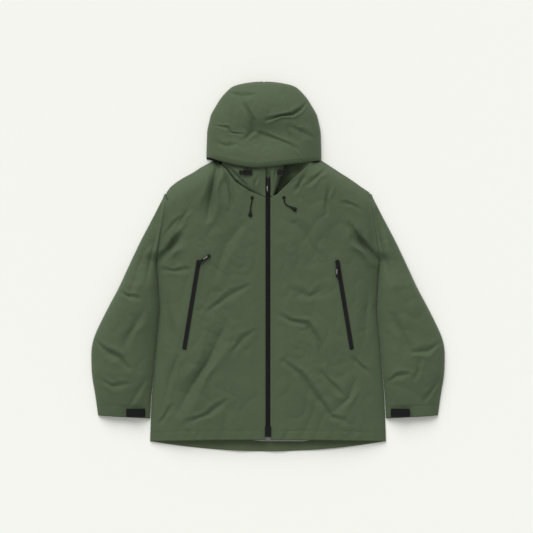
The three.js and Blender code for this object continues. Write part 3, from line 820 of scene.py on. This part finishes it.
def hood_place(u, v):
    s = -np.cos(math.pi * u) * 0.6 + (2 * u - 1) * 0.4
    guess = HOOD_X + s * HOOD_HALF
    low = brim_y(guess)
    t = 1 - (1 - v) ** 1.3
    y = low + (HOOD_TOP - low) * t
    x = HOOD_X + s * hood_half(y)
    return x, y, hood_height(x, y)


def hood_back_place(u, v):
    s = 2 * u - 1
    low = NECK_Y + (brim_y(HOOD_X + s * HOOD_HALF) - 5 - NECK_Y) * ease(0.4, 0.85, np.abs(s))
    y = low + (HOOD_TOP - low) * (1 - (1 - v) ** 1.3)
    x = HOOD_X + s * hood_half(y)
    return x, y, 1.4 + 1.1 * np.abs(s) ** 16


# The hood's inner faces, and the top of its back layer, carry the dark lining as painted shade inside
# the hood.
cloth("hood_cloth", "jacket", 170, 150, hood_place, [shell_cloth, lining_painted_shade],
      ["hood_crown", "hood_brim", "hood_side_left", "hood_side_right"])
cloth("hood_back_cloth", "jacket", 60, 60, hood_back_place, [lining_painted_shade, shell_cloth],
      ["hood_back"])

# %% [markdown]
# ## The collar
# The collar stands up from the neck seam to the top of the zip. On the wearer's right it runs on
# under the hood's edge. On the wearer's left its end is tucked in, and leaves a mouth between
# the collar and the neck seam, dark from its depth and from the painted shade of the dark lining
# inside.

# %% Collar
COLLAR_START = 186
COLLAR_END = 268


def collar_right_place(u, v):
    x = -(PLACKET + (NECK_SIDE + 2 - PLACKET) * u)
    low = body_top(x, -1) + 1
    high = 264 + 12 * u
    y = low + (high - low) * v
    fall = np.clip((-x - 16) / 104, 0, 1) ** 2
    height = centre_height(y) + (HEM_HEIGHT - centre_height(y)) * fall
    seam = -3.5 * np.exp(-(v * (high - low) / 5) ** 2)
    bulge = 5 * np.sin(math.pi * np.clip(u, 0, 1)) * np.sin(math.pi * np.clip(v, 0, 1))
    folds = wrinkles(x, y, 77.1, 0.7) + crease(x, y, ([(-104, 262), (-78, 236), (-58, 214)], 5, 5))
    folds = folds + crease(x, y, ([(-26, 238), (-36, 216), (-30, 198)], 5, 3))
    return x, y, height + (seam + bulge + folds) * ease(8, 30, -x)


def throat_place(u, v):
    """The hood's own front edge, folded down behind the top of the zip."""
    x = -50 + 90 * u
    y = 240 + 34 * v - 4 * np.sin(math.pi * u)
    ripple = 1.8 * np.sin(x / 9 + 1.2 * np.sin(y / 8)) + 1.2 * np.sin(x / 4.3)
    return x, y, 41 + 5 * v + ripple


def neck_hollow_place(u, v):
    """The inner cloth that is seen, in shade, down the open left side of the neck."""
    x = 14 + 104 * u
    low = body_top(x, 1) - 8
    y = low + (276 - low) * v
    return x, y, 11 + 20 * ease(24, 112, x) + 2.0 * np.sin(x / 8 + y / 19)


def collar_left_place(u, v):
    y = COLLAR_START + (COLLAR_END - COLLAR_START) * v
    reach = 16 + 0.34 * (y - COLLAR_START)
    x = PLACKET + (reach - PLACKET) * u
    fold = -13 * np.clip(u, 0, 1) ** 4 - 3 * np.exp(-((u - 0.45) / 0.12) ** 2) * v
    return x, y, centre_height(y) + fold * ease(8, 20, x) + 2.5 * np.sin(math.pi * u) * v


# The inner faces of the throat, the neck hollow and both collars are the dark lining, painted shade
# inside the neck.
throat = cloth("hood_throat", "jacket", 60, 24, throat_place, [shell_cloth, lining_painted_shade])
hollow = cloth("neck_hollow", "jacket", 40, 30, neck_hollow_place, [shell_cloth, lining_painted_shade])
cloth("collar_cloth_right", "jacket", 90, 60, collar_right_place, [shell_cloth, lining_painted_shade],
      ["collar_front_right"])
cloth("collar_cloth_left", "jacket", 36, 60, collar_left_place, [shell_cloth, lining_painted_shade],
      ["collar_front_left"])

# %% [markdown]
# ## Inside the neck and the cuffs
# These pieces are hardly seen, but an open collar or cuff shows them: the tape that covers the neck
# seam, a blank size label, the hanger loop, and the turned band inside each cuff.

# %% Neck tape, label, hanger loop and cuff bands
def neck_tape_place(u, v):
    x = (2 * u - 1) * 112
    y = 266 + 33 * v - 4 * (x / 112) ** 2
    return x, y, 4.2 + 0.9 * np.sin(math.pi * v) + 0.25 * np.sin(x / 9)


def label_place(u, v):
    x, y = (u - 0.5) * 44, 232 + (v - 0.5) * 30
    rim = np.maximum(np.abs(2 * u - 1), np.abs(2 * v - 1)) > 0.88
    return x, y, 3.5 + 0.5 * rim + 0.8 * np.sin(math.pi * u)


def hanger_place(u, v):
    angle = math.pi * (1 - v)
    y = 277 + 6.5 * np.sin(angle) + 4 * (u - 0.5)
    return 22 * np.cos(angle), y, 5 + 3.5 * np.sin(angle) * u


BAND_WALL = 0.8
BAND_WIDTH = 25
label_satin = woven("woven_satin_label", "#2B2E29", "#232622", 0.5, thread=0.8)
# The neck tape is the dark lining, painted shade over the neck seam.
cloth("neck_tape", "jacket", 60, 12, neck_tape_place, [lining_painted_shade], ["neck_facing"])
cloth("blank_label", "jacket", 24, 16, label_place, [label_satin], ["neck_label"], 0.6)
cloth("hanger_strap", "jacket", 6, 40, hanger_place, [webbing], ["hanger_loop"], 1.0)


def cuff_band_place(side):
    def place(u, v):
        t = (1 - np.cos(math.tau * u)) / 2
        low = cuff_low(t) + 0.8
        y = low + BAND_WIDTH * v
        width = sleeve_outer(y) - sleeve_inner(y)
        x = side * (sleeve_inner(y) + width * (0.012 + 0.976 * t))
        gap = sleeve_upper_height(x, y, side) - 1.7 - 1.9
        return x, y, 1.9 + np.where(u < 0.5, gap * (1 - (2 * t - 1) ** 10), 0)
    return place


for word, side in SIDES.items():
    band = grid(96, 10, cuff_band_place(side))
    bmesh.ops.remove_doubles(band, verts=band.verts, dist=0.05 * MM)
    bmesh.ops.recalc_face_normals(band, faces=band.faces)
    cuff = keep(band, f"cuff_band_{word}", "jacket", [hem_cloth], [f"cuff_facing_{word}"])
    add_wall(cuff, "turned band", BAND_WALL, offset=0)

# %% [markdown]
# ## The pocket bags
# A bag of thin knitted mesh hangs inside each front, from the pocket zip towards the middle. It lies
# half-way down inside the front, and rises only where it is sewn to the zip.

# %% Pocket bags
BAG_TOP = 22
BAG_DEPTH = 246
BAG_INNER = 108
POCKET_RUN = POCKET_BOTTOM[0] - POCKET_TOP[0]
POCKET_FALL = POCKET_TOP[1] - POCKET_BOTTOM[1]


def pocket_bag_place(side):
    def place(u, v):
        y = BAG_TOP - BAG_DEPTH * v
        line_x = POCKET_TOP[0] + (POCKET_TOP[1] - y) * POCKET_RUN / POCKET_FALL
        x = side * (line_x + 4 - (line_x - BAG_INNER) * (1 - (1 - u) ** 1.6))
        rise = np.exp(-(pocket_distance(x, y) / 14) ** 2)
        top = front_smooth(x, y, side)
        sag = 0.8 * np.sin(x / 13) * np.sin(y / 21)
        return x, y, top * 0.48 + sag + (top * 0.52 - 4.5) * rise
    return place


for word, side in SIDES.items():
    cloth(f"mesh_bag_{word}", "jacket", 40, 70, pocket_bag_place(side), [pocket_mesh],
          [f"pocket_bag_{word}"], 0.8)

# %% [markdown]
# ## The main zip
# Two rows of moulded teeth mesh along the middle of two film-coated tapes. Every tooth is the same
# small bevelled block, and the teeth of one row sit half a pitch behind those of the other. The zip
# climbs from the hem to the collar, so it is made flat and then tilted.

# %% Teeth, tapes and flap
ZIP_TILT = math.atan2(COLLAR_HEIGHT - HEM_HEIGHT, ZIP_TOP - ZIP_BOTTOM)
ZIP_PLACE = (Matrix.Translation(Vector((0, ZIP_TOP, COLLAR_HEIGHT)) * MM)
             @ Matrix.Rotation(ZIP_TILT, 4, "X"))
TOOTH_PITCH = 2.5
TOOTH_SIZE = (3.6, 1.15, 1.8)
TOOTH_OUT = 1.15
ZIP_LENGTH = math.hypot(ZIP_TOP - ZIP_BOTTOM, COLLAR_HEIGHT - HEM_HEIGHT)


def block(mesh, size, centre, bevel=0.0):
    """Adds a bevelled block, sizes in millimetres, to a bmesh."""
    matrix = Matrix.Translation(Vector(centre) * MM) @ Matrix.Diagonal((*(Vector(size) * MM), 1))
    made = bmesh.ops.create_cube(mesh, size=1, matrix=matrix)["verts"]
    if bevel:
        edges = list({edge for vert in made for edge in vert.link_edges})
        bmesh.ops.bevel(mesh, geom=edges, offset=bevel * MM, segments=1, profile=0.5,
                        affect="EDGES", material=-1)


teeth = bmesh.new()
for row, side in enumerate((-1, 1)):
    for step in range(int((ZIP_LENGTH - 14) / TOOTH_PITCH)):
        along = -8 - (step + row / 2) * TOOTH_PITCH
        block(teeth, TOOTH_SIZE, (side * TOOTH_OUT, along, -1.3), bevel=0.25)
block(teeth, (1.6, ZIP_LENGTH - 16, 1.0), (0, -ZIP_LENGTH / 2, -1.6))
shift(teeth, ZIP_PLACE)
bmesh.ops.recalc_face_normals(teeth, faces=teeth.faces)
chain = keep(teeth, "zip_teeth", "jacket", [nylon_teeth], ["zip_coil"])
chain.data.polygons.foreach_set("use_smooth", [False] * len(chain.data.polygons))
print("zip teeth", len(chain.data.polygons), "faces")


def tape_place(side):
    def place(u, v):
        x = side * (1.7 + 14.3 * u)
        y = ZIP_BOTTOM + 1 + (ZIP_TOP - ZIP_BOTTOM - 1.5) * v
        cord_edge = 0.5 * np.exp(-((u - 0.06) / 0.05) ** 2)
        return x, y, centre_height(y) - 2.6 + cord_edge + 0.12 * np.sin(u * 60)
    return place


def flap_place(u, v):
    low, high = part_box("storm_flap")
    x = (low[0] + (high[0] - low[0]) * u) / MM
    y = (low[1] + (high[1] - low[1]) * v) / MM
    return x, y, centre_height(y) - 6.5 + 0.5 * np.sin(y / 31) * u


for word, side in SIDES.items():
    cloth(f"zip_tape_strip_{word}", "jacket", 24, 160, tape_place(side), [zip_tape_film],
          [f"zip_tape_{word}"], 0.7)
cloth("wind_flap", "jacket", 12, 160, flap_place, [shell_cloth, backer], ["storm_flap"])

# %% [markdown]
# ## The pocket zips
# A pocket zip is a narrow film-coated strip with its coil hidden behind it, so that only a fine slit
# runs down its middle. It is set into the front, and follows its curve.

# %% Pocket zips
ZIP_DIRECTION = Vector((POCKET_RUN, -POCKET_FALL)).normalized()
POCKET_LENGTH = math.dist(POCKET_TOP, POCKET_BOTTOM)
STRIP_HALF = 5.6
STRIP_LIFT = 1.45


def along_pocket(side, run, across):
    """The point run millimetres down the pocket zip and across millimetres out from it."""
    out = POCKET_TOP[0] + ZIP_DIRECTION.x * run - ZIP_DIRECTION.y * across
    y = POCKET_TOP[1] + ZIP_DIRECTION.y * run + ZIP_DIRECTION.x * across
    return side * out, y


def pocket_strip_place(side):
    def place(u, v):
        run = POCKET_LENGTH * v
        ends = np.clip(np.minimum(run, POCKET_LENGTH - run) / 3, 0, 1) ** 0.5
        across = (2 * u - 1) * STRIP_HALF * (0.35 + 0.65 * ends)
        x, y = along_pocket(side, run, across)
        slit = -0.9 * np.exp(-(across / 0.6) ** 2)
        ribs = 0.22 * np.cos(across * 2.6) * (np.abs(across) < 4.6)
        return x, y, front_smooth(x, y, side) + STRIP_LIFT + slit + ribs
    return place


for word, side in SIDES.items():
    cloth(f"pocket_zip_strip_{word}", "jacket", 40, 160, pocket_strip_place(side), [zip_tape_film],
          [f"pocket_zip_{word}"], 1.3)

# %% [markdown]
# ## Cuff tabs and loop patches
# A soft moulded tab wraps over the end of each sleeve and grips a patch of loop pile. The tab keeps
# the frame's own shape. The patch is made here, a little smaller than the tab, so that it is covered.

# %% Loop patches
PATCH_LIFT = 3.0


def loop_patch_place(side):
    low, high = [Vector(corner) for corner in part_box("cuff_tab_left")]
    low, high = low + Vector((0.003, 0.003, 0)), high - Vector((0.004, 0.003, 0))

    def place(u, v):
        x = side * (low[0] + (high[0] - low[0]) * u) / MM
        y = (low[1] + (high[1] - low[1]) * v) / MM
        rim = np.maximum(np.abs(2 * u - 1), np.abs(2 * v - 1)) > 0.93
        return x, y, sleeve_upper_height(x, y, side) + PATCH_LIFT - 0.4 * rim
    return place


for word, side in SIDES.items():
    cloth(f"loop_patch_{word}", "jacket", 48, 20, loop_patch_place(side), [loop_pile],
          [f"cuff_loop_{word}"], 2.7)

# %% [markdown]
# ## Moulded parts from the frame
# Sliders, pulls, cord locks and tabs have exact shapes that the frame already holds. They get their
# finish here: lacquered zinc for sliders, soft rubber for pulls and tabs, and acetal for the locks.

# %% Finishes of the frame's own parts
# for each finish, the single part that has it and the kinds that come as left and right
FINISHES = {
    lacquer: ("main_slider", ["pocket_slider"]),
    rubber: ("main_pull", ["pocket_pull", "cuff_tab"]),
    acetal: ("zip_retaining_box", ["hood_lock", "hood_lock_button", "hem_lock", "hem_lock_button"]),
}
finished = 0
for material, (single, paired) in FINISHES.items():
    for name in [single] + [f"{kind}_{word}" for kind in paired for word in SIDES]:
        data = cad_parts[name].data
        data.materials.clear()
        data.materials.append(material)
        finished += 1

# Each pull carries a moulded-in light stripe, so that it can be found in poor light.
stripe_rubber = moulded("moulded_light_rubber", "#C9CAC5", "#D6D7D2", 0.6, 0.5, 0.1)


STRIPE_SIZE = (13, 0.9, 0.5)
STRIPE_ALONG = 23


def pull_stripe(name, pull, hinge, turn, offset):
    """A stripe on top of a pull, which points turn degrees from +X at its hinge."""
    mesh = bmesh.new()
    block(mesh, STRIPE_SIZE, (STRIPE_ALONG, offset, 0), bevel=0.15)
    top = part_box(pull)[1][2] / MM
    place = (Matrix.Translation(Vector((*hinge, top)) * MM)
             @ Matrix.Rotation(math.radians(turn), 4, "Z"))
    stripe = keep(shift(mesh, place), name, pull, [stripe_rubber])
    return stripe


pull_stripe("main_pull_stripe", "main_pull", (0, 228.9), -90, -2.0)
pull_stripe("pocket_pull_stripe_left", "pocket_pull_left", (184.3, 9.1), -92, -1.5)
pull_stripe("pocket_pull_stripe_right", "pocket_pull_right", (-184.3, 9.1), 33, 1.5)
print("finished", finished, "moulded parts")

# %% [markdown]
# ## Stitching
# Rows of lockstitch hold the zips, the hems and the hood. Each stitch is a small spindle of thread
# that lies on the cloth, and a row is made by walking along a line and dropping one at every step.

# %% Stitch rows
STITCH_PITCH = 3.2
STITCH_RADIUS = 1.25
STITCH_FLATNESS = (1, 0.32, 0.26, 1)
STITCH_LIFT = 0.15
# how far the stitches run beside a pocket zip, and past its ends
WELT_SIDE = 8.2
CUFF_INNER = 318
CUFF_WIDTH = 133
WELT_END = 4


def walk(points, pitch):
    """Points every pitch millimetres along a line, with the direction there."""
    points = [Vector(point) for point in points]
    left = pitch / 2
    for a, b in zip(points, points[1:]):
        length = (b - a).length
        while left < length:
            yield a.lerp(b, left / length), math.atan2(b.y - a.y, b.x - a.x)
            left += pitch
        left -= length


def stitch_rows(name, rows, height):
    mesh = bmesh.new()
    one_row = bpy.data.meshes.new("row")
    for row in rows:
        line = bmesh.new()
        for place, direction in walk(row, STITCH_PITCH):
            z = float(height(np.array([place.x]), np.array([place.y]))[0]) + STITCH_LIFT
            matrix = (Matrix.Translation(Vector((place.x, place.y, z)) * MM)
                      @ Matrix.Rotation(direction, 4, "Z") @ Matrix.Diagonal(STITCH_FLATNESS))
            bmesh.ops.create_uvsphere(line, u_segments=6, v_segments=4, radius=STITCH_RADIUS * MM,
                                      matrix=matrix)
        line.to_mesh(one_row)
        line.free()
        mesh.from_mesh(one_row)
    bpy.data.meshes.remove(one_row)
    piece = keep(mesh, name, "jacket", [thread_finish])
    print(name, len(piece.data.polygons), "faces")
    return piece


def hem_line(side, offset):
    return [(side * x, hem_y(x) + offset) for x in np.linspace(10, HEM_X - 6, 24)]


for word, side in SIDES.items():
    rows = [[(side * 10.5, y) for y in (HEM_Y + 10, 176)], hem_line(side, HEM_SEAM)]
    ends = (-WELT_END, POCKET_LENGTH + WELT_END)
    edges = (-WELT_SIDE, WELT_SIDE)
    rows += [[along_pocket(side, run, across) for run in ends] for across in edges]
    rows += [[along_pocket(side, run, across) for across in edges] for run in ends]
    stitch_rows(f"front_stitches_{word}", rows, lambda x, y: front_height(x, y, side))
    cuff_row = [(side * x, CUFF_Y + CUFF_SEAM + CUFF_RISE * (x - CUFF_INNER) / CUFF_WIDTH)
                for x in np.linspace(324, 446, 12)]
    stitch_rows(f"cuff_stitches_{word}", [cuff_row], lambda x, y: sleeve_upper_height(x, y, side))

brim_rows = [[(x, float(brim_y(np.array([x]))[0]) + rise) for x in np.linspace(-140, 122, 30)]
             for rise in (8.2, 11)]
seam_rows = [[(x + 3.2, y) for x, y in seam] for seam in HOOD_SEAMS]
stitch_rows("hood_stitches", brim_rows + seam_rows, hood_height)

# %% [markdown]
# ## The cut of the cloth
# Laminate hardly stretches, so every panel has about the area that it was cut to. No pattern pieces
# are known, so the rectangles are estimates of what each panel was cut from, and the share of each
# that is used was worked back from the laid panel. The outer panels lie on the floor itself.

# %% [markdown]
# ## Floor and light
# The jacket lies on matt white paper, which throws light back up into the folds. The light is a wide
# soft window beyond the hood and an even glow all round, so shadows are faint and folds still read.

# %% Floor and light
FLOOR_HALF = 6
GLOW = 0.545
WINDOW_POWER = 2.5
WINDOW_SPREAD = 50
WINDOW_FROM = (-0.25, 0.8, 0.6)

floor_mesh = bmesh.new()
bmesh.ops.create_grid(floor_mesh, x_segments=1, y_segments=1, size=FLOOR_HALF)
floor_data = bpy.data.meshes.new("floor")
floor_mesh.to_mesh(floor_data)
floor_mesh.free()
floor = bpy.data.objects.new("floor", floor_data)
bpy.context.collection.objects.link(floor)
paper, tree = new_material("matt_paper_floor")
mottle = add_node(tree, "TexNoise", {"Scale": 3.0})
tint = two_colours(tree, mottle.outputs["Fac"], "#F3F4EE", "#F5F6F1")
matt = add_node(tree, "BsdfPrincipled", {"Roughness": 0.9, "Specular IOR Level": 0.1},
                {"Base Color": tint})
finish_material(tree, matt)
floor_data.materials.append(paper)

world = bpy.data.worlds.new("studio")
world.use_nodes = True
world.node_tree.nodes["Background"].inputs[0].default_value = (1, 1, 0.98, 1)
world.node_tree.nodes["Background"].inputs[1].default_value = GLOW
bpy.context.scene.world = world
bpy.context.scene.view_settings.view_transform = "Standard"

key = bpy.data.lights.new("window", "SUN")
key.energy = WINDOW_POWER
key.angle = math.radians(WINDOW_SPREAD)
lamp = bpy.data.objects.new("window", key)
lamp.rotation_euler = Vector(WINDOW_FROM).to_track_quat("Z", "Y").to_euler()
bpy.context.collection.objects.link(lamp)
print("floor, glow and window light ready")
